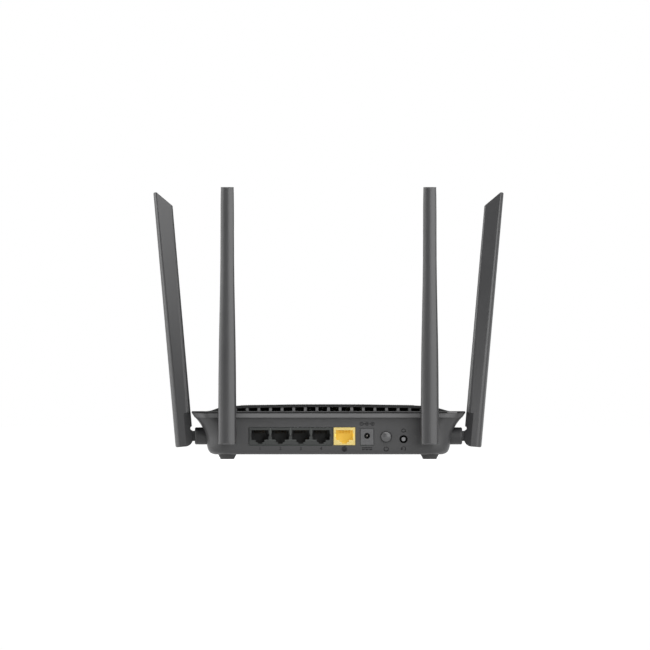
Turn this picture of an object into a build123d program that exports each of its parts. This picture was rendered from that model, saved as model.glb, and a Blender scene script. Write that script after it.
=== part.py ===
from build123d import *
import math
import os

# Four-antenna desktop wireless router, in millimetres.
# +Z is up, -Y is the front, +Y is the connector side. The origin is on the table
# plane, at the centre of the whole object's footprint.

os.makedirs("parts", exist_ok=True)

# ---------------------------------------------------------------- driving dimensions
WALL = 2.0                  # moulded wall of the lower case
COVER_WALL = 1.8            # moulded wall of the top cover
FIT = 0.2                   # gap round a socket in its window
RUNNING = 0.05              # radial clearance of a turning fit

# heights above the table
FOOT_HEIGHT = 3.2
FLOOR_TOP = FOOT_HEIGHT + WALL
BOARD_BOTTOM, BOARD_TOP = 8.0, 9.6
BAND_BOTTOM, BAND_TOP = 28.5, 31.5      # the bevelled band round the lower case's mouth
BRIM_TOP = 32.9             # flat brim of the top cover
DECK_TOP = 37.6             # crown of the raised deck

# rear panel: its plane, and what opens in it
REAR_Y = 58.0
LAN_X, LAN_WIDTH, LAN_PORTS, PORT_PITCH = 26.0, 57.0, 4, 13.97
WAN_X, WAN_WIDTH = -10.9, 14.8
PORT_HEIGHT, PORT_DEPTH, PORT_PROUD = 12.1, 18.0, 0.5
JACK_X, JACK_Z, JACK_WIDTH, JACK_HEIGHT, JACK_DEPTH = -26.4, 16.0, 9.3, 11.2, 13.0
POWER_X, POWER_Z, POWER_RADIUS, POWER_GAP = -39.5, 15.3, 3.45, 0.4
RESET_X, RESET_Z, RESET_RADIUS, RESET_HOLE_RADIUS = -51.4, 13.7, 1.5, 2.8

# antennas
REAR_PIVOT = (69.2, 72.2, 17.7)
SIDE_PIVOT = (99.5, 34.0, 15.9)
SIDE_LEAN = 5.0             # degrees outwards at rest
PIVOT_TO_SEAT = 17.2        # tilt axis to the floor of the pocket in the case wall
BLADE_DEPTH = 12.4
BLADE_FOOT, BLADE_TOP = 7.4, 168.3      # blade below and above its tilt axis
SHOULDER_V = 15.5           # below here the blade's inner side is relieved
BARREL_RADIUS, BARREL_END, SHANK_RADIUS, SHANK_END = 5.9, 7.7, 4.0, 24.2
TONGUE_RADIUS, TONGUE_HALF, TRUNNION_RADIUS, TRUNNION_END = 3.5, 2.5, 1.5, 4.0
LEAD_RADIUS = 0.565         # micro coax


# ---------------------------------------------------------------- small helpers
def block(x_range, y_range, z_range):
    """A box from its three spans."""
    (x0, x1), (y0, y1), (z0, z1) = x_range, y_range, z_range
    return Pos((x0 + x1) / 2, (y0 + y1) / 2, (z0 + z1) / 2) * Box(x1 - x0, y1 - y0, z1 - z0)


def rod(start, axis, radius, length):
    """A cylinder that starts at a point and runs along an axis."""
    return Solid.make_cylinder(radius, length, Plane(origin=start, z_dir=axis))


def upright(x, y, z0, z1, radius):
    """A vertical cylinder between two heights."""
    return rod((x, y, z0), (0, 0, 1), radius, z1 - z0)


def inward(x, z, y0, y1, radius):
    """A cylinder along Y between two depths."""
    return rod((x, y0, z), (0, 1, 0), radius, y1 - y0)


def chip(x, y, width, depth, z0, z1):
    """A rectangular body standing on the board."""
    return block((x - width / 2, x + width / 2), (y - depth / 2, y + depth / 2), (z0, z1))


def group(shapes):
    """Separate solids that share one node."""
    return Compound(children=[solid for shape in shapes for solid in shape.solids()])


def both_sides(points):
    """The points, and their mirror images in X."""
    return [(side * x, *rest) for x, *rest in points for side in (1, -1)]


# ---------------------------------------------------------------- the case's plan
SIDE_BOW_Y = 19.5           # where the bowed sides are furthest apart
REAR_TAPER, FRONT_TAPER = 1.6, 6.0      # half-width lost from there to the corners
FRONT_BOW = 9.0             # how far the front edge bows out


def plan(z, half_width, rear_y, front_y, rear_radius, front_radius):
    """A level section of the case: straight rear, bowed sides and front, round corners."""
    rear_x, front_x = half_width - REAR_TAPER, half_width - FRONT_TAPER
    corner_y = front_y + FRONT_BOW
    corners = [(-rear_x, rear_y, z), (rear_x, rear_y, z), (front_x, corner_y, z), (-front_x, corner_y, z)]
    face = make_face([
        Line(corners[0], corners[1]),
        ThreePointArc(corners[1], (half_width, SIDE_BOW_Y, z), corners[2]),
        ThreePointArc(corners[2], (0, front_y, z), corners[3]),
        ThreePointArc(corners[3], (-half_width, SIDE_BOW_Y, z), corners[0]),
    ])
    face = fillet(face.vertices().filter_by(lambda v: v.Y > 0), rear_radius)
    return fillet(face.vertices().sort_by(Axis.Y)[:2], front_radius)


# Levels of the tub: height, half-width, rear edge, front edge. The bottom edge is
# round, the walls lean out a little, and the sides and front flare under the band.
TUB_LEVELS = [
    (3.2, 78.6, 54.2, -57.6),
    (3.9, 80.5, 56.3, -60.0),
    (5.4, 82.2, 57.5, -61.6),
    (8.2, 83.3, 58.0, -62.8),
    (14.0, 84.1, 58.0, -64.6),
    (18.0, 85.0, 58.0, -66.0),
    (21.5, 86.6, 58.0, -67.8),
    (24.5, 88.4, 58.0, -69.9),
    (26.6, 90.0, 58.0, -71.6),
    (BAND_BOTTOM, 91.7, 58.0, -73.2),
]
REAR_CORNER, FRONT_CORNER = 12.0, 16.0
BAND_FOOT = (92.0, 60.5, -73.8)         # half-width, rear and front edge of the band
BAND_LIP = (94.0, 58.9, -77.6)
COVER_EDGE = (94.2, 59.1, -78.0)


def tub(inset, lowest):
    """The lower case's outer or inner form, up to the band."""
    return loft([
        plan(z, half - inset, rear - inset, front + inset, REAR_CORNER - inset, FRONT_CORNER - inset)
        for z, half, rear, front in TUB_LEVELS
        if z > lowest
    ])


def band():
    """The bevelled band: over the rear it leans in, over the sides and front it flares out."""
    return loft([
        plan(BAND_BOTTOM, *BAND_FOOT, REAR_CORNER, FRONT_CORNER),
        plan(BAND_TOP, *BAND_LIP, REAR_CORNER, FRONT_CORNER),
    ])


# ---------------------------------------------------------------- where things are fixed
CASE_POSTS = both_sides([(76.5, 8.0), (40.0, -50.0)])
POST_SPLIT = 12.5           # the cover's posts meet the case's bosses at this height
BOARD_PILLARS = both_sides([(66.0, 44.0), (66.0, -36.0)])
FEET = both_sides([(69.4, 46.0), (70.0, -22.0)])
FOOT_TOP_RADIUS, FOOT_TIP_RADIUS, FOOT_PLUG_RADIUS, FOOT_POCKET = 6.2, 4.6, 4.6, 0.8
KEYHOLES = both_sides([(45.0, 6.0)])
KEYHOLE_RADIUS, KEYHOLE_SLOT, KEYHOLE_REACH = 4.0, 1.9, 6.5
FLOOR_VENTS = [(x, y) for x in range(-24, 25, 6) for y in (24.0, -30.0)]
VENT_WIDTH, VENT_LENGTH = 2.4, 22.0
LABEL_WIDTH, LABEL_DEPTH, LABEL_Y, LABEL_THICK = 62.0, 24.0, -3.0, 0.25
CASE_SCREW, CASE_HEAD, CASE_HEAD_TOP = 1.35, 2.7, 7.2
BOARD_SCREW, BOARD_HEAD = 1.05, 2.3


# ---------------------------------------------------------------- antenna places
class AntennaPlace:
    """Where one antenna sits. Locally X points out of the case and Z up the blade."""

    def __init__(self, name, pivot, outward, lean):
        self.name = name
        self.pivot = Vector(*pivot)
        self.outward = Vector(*outward)
        turn, up = math.radians(lean), Vector(0, 0, 1)
        self.fixed = Plane(origin=self.pivot, x_dir=self.outward, z_dir=up).location
        self.leaning = Plane(
            origin=self.pivot,
            x_dir=self.outward * math.cos(turn) - up * math.sin(turn),
            z_dir=self.outward * math.sin(turn) + up * math.cos(turn),
        ).location

    def rod(self, start, end, radius):
        """A cylinder on the swivel axis between two distances from the pivot."""
        return rod(self.pivot + self.outward * start, self.outward, radius, end - start)


ANTENNAS = [
    AntennaPlace("rear_left", (-REAR_PIVOT[0], *REAR_PIVOT[1:]), (0, 1, 0), 0),
    AntennaPlace("rear_right", REAR_PIVOT, (0, 1, 0), 0),
    AntennaPlace("side_left", (-SIDE_PIVOT[0], *SIDE_PIVOT[1:]), (-1, 0, 0), SIDE_LEAN),
    AntennaPlace("side_right", SIDE_PIVOT, (1, 0, 0), SIDE_LEAN),
]
SEAT_THICK, SEAT_RADIUS, POCKET_GAP = 3.0, 8.2, 0.35


# ---------------------------------------------------------------- lower case
def lower_case():
    outer = tub(0, 0) + band()
    mouth_z, half, rear, front = TUB_LEVELS[-1]
    mouth = plan(mouth_z, half - WALL, rear - WALL, front + WALL, REAR_CORNER - WALL, FRONT_CORNER - WALL)
    cavity = tub(WALL, FLOOR_TOP) + extrude(mouth, BAND_TOP - BAND_BOTTOM + 1)
    case = outer - cavity
    for place in ANTENNAS:
        seat_back = -PIVOT_TO_SEAT - SEAT_THICK
        case += place.rod(seat_back, seat_back + SEAT_THICK + 4, SEAT_RADIUS) & outer
        case -= place.rod(-PIVOT_TO_SEAT, 0, BARREL_RADIUS + POCKET_GAP)
        case -= place.rod(seat_back - 1, 0, SHANK_RADIUS + RUNNING)

    for x, y in CASE_POSTS:
        case += upright(x, y, FLOOR_TOP - 0.5, POST_SPLIT, 4.2)
        case -= upright(x, y, FOOT_HEIGHT - 1, POST_SPLIT + 1, CASE_SCREW + 0.2)
        case -= upright(x, y, FOOT_HEIGHT - 1, CASE_HEAD_TOP, CASE_HEAD + 0.3)
    for x, y in BOARD_PILLARS:
        case += upright(x, y, FLOOR_TOP - 0.5, BOARD_BOTTOM, 3.2)
        case -= upright(x, y, FLOOR_TOP, BOARD_BOTTOM + 1, BOARD_SCREW)
    case -= [upright(x, y, 0, FOOT_HEIGHT + FOOT_POCKET, FOOT_PLUG_RADIUS) for x, y in FEET]
    case -= [keyhole(x, y) for x, y in KEYHOLES]
    vent = extrude(SlotOverall(VENT_LENGTH, VENT_WIDTH, rotation=90), WALL + 2)
    case -= [Pos(x, y, FOOT_HEIGHT - 1) * vent for x, y in FLOOR_VENTS]
    case -= label(FIT)
    return case - rear_windows()


def keyhole(x, y):
    """A wall-hanging keyhole: a round entry with a narrow slot in front of it."""
    low, high = 0, FLOOR_TOP + 0.5
    entry = upright(x, y, low, high, KEYHOLE_RADIUS)
    slot = block((x - KEYHOLE_SLOT, x + KEYHOLE_SLOT), (y, y + KEYHOLE_REACH), (low, high))
    return entry + slot + upright(x, y + KEYHOLE_REACH, low, high, KEYHOLE_SLOT)


def label(gap):
    """The blank label on the underside, or, with a gap, the recess that it sits in."""
    outline = RectangleRounded(LABEL_WIDTH + 2 * gap, LABEL_DEPTH + 2 * gap, 2)
    bottom = FOOT_HEIGHT - (1 if gap else 0)
    return Pos(0, LABEL_Y, bottom) * extrude(outline, FOOT_HEIGHT + LABEL_THICK - bottom)


def rear_windows():
    """The socket windows and button holes of the rear panel."""
    depth = (REAR_Y - 6, REAR_Y + 4)

    def window(x, width, height):
        span = (x - width / 2 - FIT, x + width / 2 + FIT)
        return block(span, depth, (BOARD_TOP - FIT, BOARD_TOP + height + FIT))

    return [
        window(LAN_X, LAN_WIDTH, PORT_HEIGHT),
        window(WAN_X, WAN_WIDTH, PORT_HEIGHT),
        window(JACK_X, JACK_WIDTH, JACK_HEIGHT),
        inward(POWER_X, POWER_Z, *depth, POWER_RADIUS + POWER_GAP),
        inward(RESET_X, RESET_Z, *depth, RESET_HOLE_RADIUS),
    ]


def rubber_feet():
    feet = []
    for x, y in FEET:
        cone = Solid.make_cone(FOOT_TIP_RADIUS, FOOT_TOP_RADIUS, FOOT_HEIGHT, Plane(origin=(x, y, 0)))
        cone = fillet(cone.edges().group_by(Axis.Z)[0], 0.5)
        feet.append(cone + upright(x, y, FOOT_HEIGHT - 0.1, FOOT_HEIGHT + FOOT_POCKET, FOOT_PLUG_RADIUS))
    return group(feet)


# ---------------------------------------------------------------- top cover
DECK_REAR_Y, DECK_FRONT_Y, DECK_HALF = 55.6, -66.0, 84.0
CROWN_HALF, CROWN_FALL = 64.5, 1.1      # the crown's half-width, and how far it falls to there
VENT_PITCH, VENT_RIB, VENT_COUNT = 7.95, 1.9, 18
VENT_HALF = (VENT_COUNT * VENT_PITCH - VENT_RIB) / 2
VENT_SILL, VENT_LINTEL = BRIM_TOP + 0.1, 1.6
RAIL_DEPTH = 1.6
FORM_BASE = BAND_TOP - 2    # the deck's cutting forms start below the brim
LED_COUNT, LED_PITCH, LED_Y, LED_WIDTH, LED_DEPTH = 6, 9.0, -50.0, 3.4, 1.3
LED_XS = [(n - (LED_COUNT - 1) / 2) * LED_PITCH for n in range(LED_COUNT)]


def deck_across(drop):
    """The deck seen from the rear: a low crown that sweeps down into the brim."""
    half, edge, top = DECK_HALF, BRIM_TOP - drop, DECK_TOP - drop
    crown = [(t * CROWN_HALF, top - CROWN_FALL * t * t) for t in (-1, -0.7, -0.35, 0, 0.35, 0.7, 1)]
    sweep_z = BRIM_TOP + 1.5 - drop
    outline = Spline(
        (-half, edge), (-77.5, sweep_z), *crown, (77.5, sweep_z), (half, edge), tangents=[(1, 0.06), (1, -0.06)],
    )
    walls = Polyline((half, edge), (half, FORM_BASE), (-half, FORM_BASE), (-half, edge))
    return extrude(Plane.XZ * make_face([outline, walls]), 100, both=True)


def deck_along(drop, rear_y, front_y):
    """The deck seen from the side: a steep rear riser, then a top that falls to the nose."""
    ridge, edge = DECK_TOP + 0.3 - drop, BRIM_TOP - drop
    top = Spline(
        (rear_y - 1.0, ridge), (15, ridge - 1.0), (-30, ridge - 2.6), (front_y, edge),
        tangents=[(-1, -0.02), (-1, -0.07)],
    )
    walls = Polyline(
        (front_y, edge), (front_y, FORM_BASE), (rear_y, FORM_BASE), (rear_y, ridge - 1.2), (rear_y - 1.0, ridge),
    )
    return extrude(Plane.YZ * make_face([top, walls]), 100, both=True)


def deck_form(drop, side_gap=0.0):
    """The raised deck as a solid form, shrunk for its inner face."""
    return deck_across(drop) & deck_along(drop, DECK_REAR_Y - side_gap, DECK_FRONT_Y + side_gap)


def top_cover():
    brim = extrude(plan(BAND_TOP, *COVER_EDGE, REAR_CORNER, FRONT_CORNER), BRIM_TOP - BAND_TOP)
    brim = fillet(brim.edges().group_by(Axis.Z)[-1], 0.5)
    hollow = deck_form(COVER_WALL, COVER_WALL)
    cover = brim + (deck_form(0) & block((-100, 100), (-100, 100), (BAND_TOP, 60))) - hollow
    for x, y in CASE_POSTS:
        cover += upright(x, y, POST_SPLIT, 60, 3.4) & (deck_form(0.9, 0.9) + upright(x, y, 0, BRIM_TOP - 0.6, 5))
        cover -= upright(x, y, POST_SPLIT - 1, POST_SPLIT + 11, CASE_SCREW)
    for side in (-1, 1):
        locator = sorted((side * 86.9, side * 88.3))
        cover += block(locator, (0, 30), (BAND_TOP - 3, BAND_TOP + 0.5))
    return cover - vent_window() - led_windows()


def vent_window():
    """The long window in the deck's rear riser; its top follows the crown."""
    window = block((-VENT_HALF, VENT_HALF), (DECK_REAR_Y - 3, DECK_REAR_Y + 1), (VENT_SILL, 60))
    return window & deck_across(VENT_LINTEL)


def vent_grille():
    """A comb inside the cover: a rail behind the sill, and teeth that fill the window."""
    inner_y = DECK_REAR_Y - COVER_WALL - FIT
    back = (inner_y - RAIL_DEPTH, inner_y)
    foot, sill = BAND_TOP - 1, VENT_SILL + 0.05
    inside = deck_form(COVER_WALL + FIT, COVER_WALL + FIT)
    grille = block((-VENT_HALF, VENT_HALF), back, (foot, VENT_SILL))
    lean = make_face(Polyline(
        (back[0], sill), (DECK_REAR_Y - 0.2, sill), (DECK_REAR_Y - 1.2, DECK_TOP), (back[0], DECK_TOP), close=True,
    ))
    front = extrude(Plane.YZ * lean, VENT_RIB / 2, both=True)
    for n in range(1, VENT_COUNT):
        x = (n - VENT_COUNT / 2) * VENT_PITCH
        stem = block((x - VENT_RIB / 2, x + VENT_RIB / 2), back, (BAND_TOP, 60)) & inside
        face = Pos(x, 0, 0) * front & deck_across(VENT_LINTEL + 0.05)
        face -= block((x - 2, x + 2), (back[0] - 1, back[1]), (0, 60))
        grille += [stem, face]
    return grille


def led_windows():
    """Slots through the nose of the deck for the light guide's heads."""
    width, depth = LED_WIDTH + 0.2, LED_DEPTH + 0.2
    return [chip(x, LED_Y, width, depth, 28, 60) for x in LED_XS]


def light_guide():
    """Six clear pillars from the lamps to the deck, joined by a bar under the cover."""
    bar_half = LED_XS[-1] + 3
    guide = block((-bar_half, bar_half), (LED_Y - 1.6, LED_Y + 1.6), (27.0, 28.6))
    for x in LED_XS:
        guide += chip(x, LED_Y, LED_WIDTH, LED_DEPTH, BOARD_TOP + 1.1, 60) & deck_column(x)
    return guide


def deck_column(x):
    """The room under the deck's surface at one lamp, from the board up."""
    return (deck_form(0.05) & chip(x, LED_Y, 8, 8, 30, 60)) + chip(x, LED_Y, 8, 8, 0, 31)


# ---------------------------------------------------------------- sockets
PORT_FACE_Y = REAR_Y + PORT_PROUD
PORT_MOUTH, PORT_ROOF, PORT_SILL = 11.7, 19.9, 13.1
LATCH_WIDTH, LATCH_SILL, KEY_WIDTH, KEY_SILL = 6.1, 11.7, 3.3, 10.6
CONTACTS, CONTACT_PITCH, CONTACT_WIDTH = 8, 1.02, 0.36
COMB_HALF, COMB_TOP = 4.3, 20.6
LAN_XS = [LAN_X + (n - (LAN_PORTS - 1) / 2) * PORT_PITCH for n in range(LAN_PORTS)]


def port_cavity(x):
    """The plug's way in: mouth, latch notch, key notch, side pockets and contact comb."""
    depth = (PORT_FACE_Y - 15, PORT_FACE_Y + 1)
    cavity = block((x - PORT_MOUTH / 2, x + PORT_MOUTH / 2), depth, (PORT_SILL, PORT_ROOF))
    cavity += block((x - LATCH_WIDTH / 2, x + LATCH_WIDTH / 2), depth, (LATCH_SILL, PORT_SILL + 0.1))
    cavity += block((x - KEY_WIDTH / 2, x + KEY_WIDTH / 2), (depth[0] + 3, depth[1]), (KEY_SILL, LATCH_SILL + 0.1))
    pocket = PORT_MOUTH / 2 + 0.6
    cavity += block((x - pocket, x + pocket), (PORT_FACE_Y - 3, PORT_FACE_Y + 1), (15.5, 17.5))
    comb = block((x - COMB_HALF, x + COMB_HALF), (depth[0], PORT_FACE_Y - 2), (PORT_ROOF - 0.1, COMB_TOP))
    return cavity + comb


def socket_housing(x, width, centres):
    """A row of 8-contact sockets moulded as one block."""
    body = block(
        (x - width / 2, x + width / 2), (PORT_FACE_Y - PORT_DEPTH, PORT_FACE_Y),
        (BOARD_TOP, BOARD_TOP + PORT_HEIGHT),
    )
    body = chamfer(body.edges().group_by(Axis.Y)[-1], 0.3)
    return body - [port_cavity(centre) for centre in centres]


def socket_contacts(centres):
    """Hairpin contact springs: one leg in the comb, one sloping down into the mouth."""
    y = PORT_FACE_Y
    hairpin = make_face(Polyline(
        (y - 15, COMB_TOP), (y - 2.6, COMB_TOP), (y - 2.3, 20.3), (y - 2.6, 20.0), (y - 10.6, 17.7),
        (y - 10.8, 18.0), (y - 3.4, 20.25), (y - 15, 20.25), close=True,
    ))
    spring = extrude(Plane.YZ * hairpin, CONTACT_WIDTH / 2, both=True)
    return group(
        Pos(centre + (n - (CONTACTS - 1) / 2) * CONTACT_PITCH, 0, 0) * spring
        for centre in centres for n in range(CONTACTS)
    )


JACK_FACE_Y = REAR_Y + 0.3
JACK_HOLE, JACK_HOLE_DEPTH, JACK_PIN = 2.05, 9.5, 0.68


def power_jack():
    y = (JACK_FACE_Y - JACK_DEPTH, JACK_FACE_Y)
    body = block((JACK_X - JACK_WIDTH / 2, JACK_X + JACK_WIDTH / 2), y, (BOARD_TOP, BOARD_TOP + JACK_HEIGHT))
    body = chamfer(body.edges().group_by(Axis.Y)[-1], 0.4)
    body -= inward(JACK_X, JACK_Z, y[1] - JACK_HOLE_DEPTH, y[1] + 1, JACK_HOLE)
    return body - inward(JACK_X, JACK_Z, y[0] - 1, y[1], JACK_PIN)


def power_jack_pin():
    pin = inward(JACK_X, JACK_Z, JACK_FACE_Y - JACK_DEPTH, JACK_FACE_Y - 0.8, JACK_PIN)
    return fillet(pin.edges().group_by(Axis.Y)[-1], 0.5)


# ---------------------------------------------------------------- buttons
SWITCH_Y = (37.0, 46.5)
CAP_BACK_Y, CAP_PROUD, CAP_DOME = 50.2, 2.6, 7.0


def power_switch():
    """The latching switch body, open towards the rear for its plunger."""
    body = block((POWER_X - 4.2, POWER_X + 4.2), SWITCH_Y, (BOARD_TOP, POWER_Z + 4.2))
    room = block((POWER_X - 1.6, POWER_X + 1.6), (SWITCH_Y[0] + 1, SWITCH_Y[1] + 1), (POWER_Z - 1.6, POWER_Z + 1.6))
    return body - room


def power_plunger():
    return block((POWER_X - 1.5, POWER_X + 1.5), (SWITCH_Y[0] + 4, CAP_BACK_Y + 2), (POWER_Z - 1.5, POWER_Z + 1.5))


def power_button():
    """A domed cap with a retaining flange, socketed over the plunger."""
    cap = inward(POWER_X, POWER_Z, CAP_BACK_Y, REAR_Y + CAP_PROUD, POWER_RADIUS)
    dome = Pos(POWER_X, REAR_Y + CAP_PROUD - CAP_DOME, POWER_Z) * Sphere(CAP_DOME)
    cap &= dome + inward(POWER_X, POWER_Z, 0, REAR_Y, POWER_RADIUS + 1)
    cap = fillet(cap.edges().group_by(Axis.Y)[-1], 0.5)
    cap += inward(POWER_X, POWER_Z, REAR_Y - WALL - 1.6, REAR_Y - WALL - 0.5, POWER_RADIUS + 1.1)
    return cap - power_plunger()


RESET_SWITCH_Y = (45.0, 49.0)


def reset_switch():
    body = block((RESET_X - 3, RESET_X + 3), RESET_SWITCH_Y, (BOARD_TOP, RESET_Z + 3))
    return body - inward(RESET_X, RESET_Z, RESET_SWITCH_Y[0] + 1, RESET_SWITCH_Y[1] + 1, RESET_RADIUS + RUNNING)


def reset_plunger():
    stem = inward(RESET_X, RESET_Z, RESET_SWITCH_Y[0] + 2, REAR_Y - 0.9, RESET_RADIUS)
    return fillet(stem.edges().group_by(Axis.Y)[-1], 0.35)


# ---------------------------------------------------------------- antennas
BLADE_HALF = BLADE_DEPTH / 2
# half-width of the blade's outer face at heights above the tilt axis
BLADE_WIDTHS = [(SHOULDER_V, 6.15), (38.0, 6.08), (64.0, 5.78), (91.0, 5.25), (125.0, 4.8), (BLADE_TOP + 3, 4.4)]
CROWN = 2.2                 # how far the outer face bulges at the foot of the blade
CAVITY_HALF, CAVITY_U, CAVITY_TOP = 1.9, (-2.0, 3.2), 157.0
SLOT_HALF = TONGUE_HALF + 0.15
SLOT_REACH = TONGUE_RADIUS + 0.2
RELIEF_RADIUS = 1.4         # round bite in the blade's inner edge, over the tongue


def blade_section(v, outer_half):
    """A section of the tube: a wide outer face and sides that close towards the case."""
    rise = (v - SHOULDER_V) / (BLADE_TOP - SHOULDER_V)
    inner_half = outer_half * (1 - 0.45 * rise)
    bulge = CROWN - 0.5 * rise
    u_out, u_in = BLADE_HALF - bulge, -BLADE_HALF + 0.4
    face = make_face([
        ThreePointArc((u_out, -outer_half, v), (BLADE_HALF, 0, v), (u_out, outer_half, v)),
        Line((u_out, outer_half, v), (u_in, inner_half, v)),
        ThreePointArc((u_in, inner_half, v), (-BLADE_HALF, 0, v), (u_in, -inner_half, v)),
        Line((u_in, -inner_half, v), (u_out, -outer_half, v)),
    ])
    face = fillet(face.vertices().filter_by(lambda p: p.X > 0), 3.0 - 2.0 * rise)
    return fillet(face.vertices().sort_by(Axis.X)[:2], 3.0 - 2.0 * rise)


def blade_root():
    """The blade below its shoulder, with the inner corners cut back for the swing."""
    outer, u_out, u_bend, inner = BLADE_WIDTHS[0][1], BLADE_HALF - CROWN, -1.3, 4.1
    face = make_face([
        ThreePointArc((u_out, -outer), (BLADE_HALF, 0), (u_out, outer)),
        Polyline((u_out, outer), (u_bend, outer), (-BLADE_HALF, inner), (-BLADE_HALF, -inner), (u_bend, -outer),
                 (u_out, -outer)),
    ])
    face = fillet(face.vertices().filter_by(lambda p: p.X > 2), 3.0)
    return Pos(0, 0, -BLADE_FOOT - 1) * extrude(face, SHOULDER_V + BLADE_FOOT + 1)


def side_profile():
    """The blade seen from the side: a 45-degree top, a round inner heel."""
    tip = BLADE_HALF - 2.2
    profile = make_face(Polyline(
        (BLADE_HALF, -BLADE_FOOT), (BLADE_HALF, BLADE_TOP), (tip, BLADE_TOP),
        (-BLADE_HALF, BLADE_TOP - (tip + BLADE_HALF)), (-BLADE_HALF, -BLADE_FOOT), close=True,
    ))
    heel = profile.vertices().sort_by(Axis.Y)[:2].sort_by(Axis.X)
    profile = fillet(heel[0], 5.4)
    profile = fillet(profile.vertices().filter_by(lambda p: p.Y > 100), 0.9)
    outer_heel = profile.vertices().sort_by(Axis.Y)[:2].sort_by(Axis.X)[-1]
    return extrude(Plane.XZ * fillet(outer_heel, 1.2), 10, both=True)


def tongue_slot():
    """The quarter turn that the knuckle's tongue needs inside the blade's foot."""
    reach, outside = SLOT_REACH, 12
    half = SLOT_HALF
    sweep = block((-outside, 0), (-half, half), (-outside, reach))
    sweep += block((-outside, reach), (-half, half), (-outside, 0))
    return sweep + Solid.make_cylinder(reach, 2 * half, Plane(origin=(0, -half, 0), z_dir=(0, 1, 0)))


def antenna_blade():
    tube = loft([blade_section(v, half) for v, half in BLADE_WIDTHS])
    blade = (tube + blade_root()) & side_profile()
    blade -= block(CAVITY_U, (-CAVITY_HALF, CAVITY_HALF), (0, CAVITY_TOP))
    blade -= tongue_slot()
    blade -= Solid.make_cylinder(RELIEF_RADIUS, 20, Plane((-6.4, -10, 4.7), z_dir=(0, 1, 0)))
    bearing = TRUNNION_END + 0.1
    axis = Plane((0, -bearing, 0), z_dir=(0, 1, 0))
    return blade - Solid.make_cylinder(TRUNNION_RADIUS + RUNNING, 2 * bearing, axis)


def antenna_knuckle():
    """Shank, barrel and tongue in one piece, with two trunnions and a way through for the lead."""
    def turned(u0, u1, radius):
        return rod((u0, 0, 0), (1, 0, 0), radius, u1 - u0)

    barrel = turned(-PIVOT_TO_SEAT + RUNNING, -BARREL_END, BARREL_RADIUS)
    barrel = fillet(barrel.edges().group_by(Axis.X)[-1], 1.1)
    seam = turned(-10.0, -9.7, BARREL_RADIUS + 1) - turned(-10.0, -9.7, BARREL_RADIUS - 0.2)
    groove = turned(-21.4, -20.3, SHANK_RADIUS + 1) - turned(-21.4, -20.3, SHANK_RADIUS - 0.8)
    knuckle = turned(-SHANK_END, -PIVOT_TO_SEAT + 1, SHANK_RADIUS) + (barrel - seam) - groove
    eye = Solid.make_cylinder(TONGUE_RADIUS, 2 * TONGUE_HALF, Plane((0, -TONGUE_HALF, 0), z_dir=(0, 1, 0)))
    arm = block((-BARREL_END - 1, 0), (-TONGUE_HALF, TONGUE_HALF), (-TONGUE_RADIUS, TONGUE_RADIUS))
    trunnions = Solid.make_cylinder(TRUNNION_RADIUS, 2 * TRUNNION_END, Plane((0, -TRUNNION_END, 0), z_dir=(0, 1, 0)))
    return knuckle + arm + eye + trunnions - turned(-SHANK_END - 1, TONGUE_RADIUS + 1, 1.0)


def retaining_ring():
    """A snap ring in the shank's groove, inside the case wall."""
    ring = rod((-21.35, 0, 0), (1, 0, 0), 5.6, 1.0) - rod((-22, 0, 0), (1, 0, 0), SHANK_RADIUS - 0.75, 3)
    return ring - block((-22, -20), (-2.4, 2.4), (-8, 0))


def radiator():
    """The printed radiating strip inside the blade, with its folded-arm notches."""
    strip = block((-1.6, 2.8), (-0.4, 0.4), (8.0, 150.0))
    notches = [block((0.2, 3.0), (-1, 1), (z, z + 3.0)) for z in range(30, 140, 22)]
    return strip - notches


# Each lead's route for the +X side: out of the knuckle, then down to its plug on the board.
LEAD_ROUTES = {
    "rear": [(69.2, 66.0, 17.7), (69.2, 43.0, 17.7), (58.0, 30.0, 13.6), (51.0, 15.5, 11.0)],
    "side": [(94.1, 34.0, 15.9), (68.5, 34.0, 15.9), (62.5, 21.5, 12.6), (58.0, 9.5, 11.0)],
}
PLUG_BOTTOM, PLUG_TOP, PLUG_RADIUS = 10.45, 11.6, 1.55


def bend_radii(points):
    """The largest tangent arc that fits each bend of a route."""
    radii = []
    for before, corner, after in zip(points, points[1:], points[2:]):
        arriving, leaving = Vector(*corner) - Vector(*before), Vector(*after) - Vector(*corner)
        half_turn = math.radians(arriving.get_angle(leaving)) / 2
        radii.append(0.45 * min(arriving.length, leaving.length) / math.tan(half_turn))
    return radii


def antenna_lead(place):
    """Micro coax from the knuckle to the board, with its snap-on plug."""
    side = math.copysign(1, place.pivot.X)
    route = [(side * x, y, z) for x, y, z in LEAD_ROUTES[place.name.split("_")[0]]]
    radii = bend_radii(route)
    path = FilletPolyline(*route, radius=radii)
    section = Plane(origin=route[0], z_dir=Vector(*route[1]) - Vector(*route[0])) * Circle(LEAD_RADIUS)
    cable = sweep(section, path)
    print(place.name, "lead radii", [round(r, 1) for r in radii], "length", round(path.length, 1),
          "volume ratio", round(cable.volume / (math.pi * LEAD_RADIUS**2 * path.length), 4))
    return cable + upright(*route[-1][:2], PLUG_BOTTOM, PLUG_TOP, PLUG_RADIUS)


def coax_sockets():
    sockets = []
    for route in LEAD_ROUTES.values():
        for x, y in both_sides([route[-1][:2]]):
            base = chip(x, y, 2.6, 2.6, BOARD_TOP, BOARD_TOP + 0.35)
            sockets.append(base + upright(x, y, BOARD_TOP, PLUG_BOTTOM, 1.0))
    return group(sockets)


# ---------------------------------------------------------------- main board
SOC_X, SOC_Y, SOC_TOP, PAD_TOP, SINK_TOP = 5.0, 0.0, BOARD_TOP + 1.4, BOARD_TOP + 1.9, 24.0
SINK_SIZE, SINK_FINS = 36.0, 9


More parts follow.
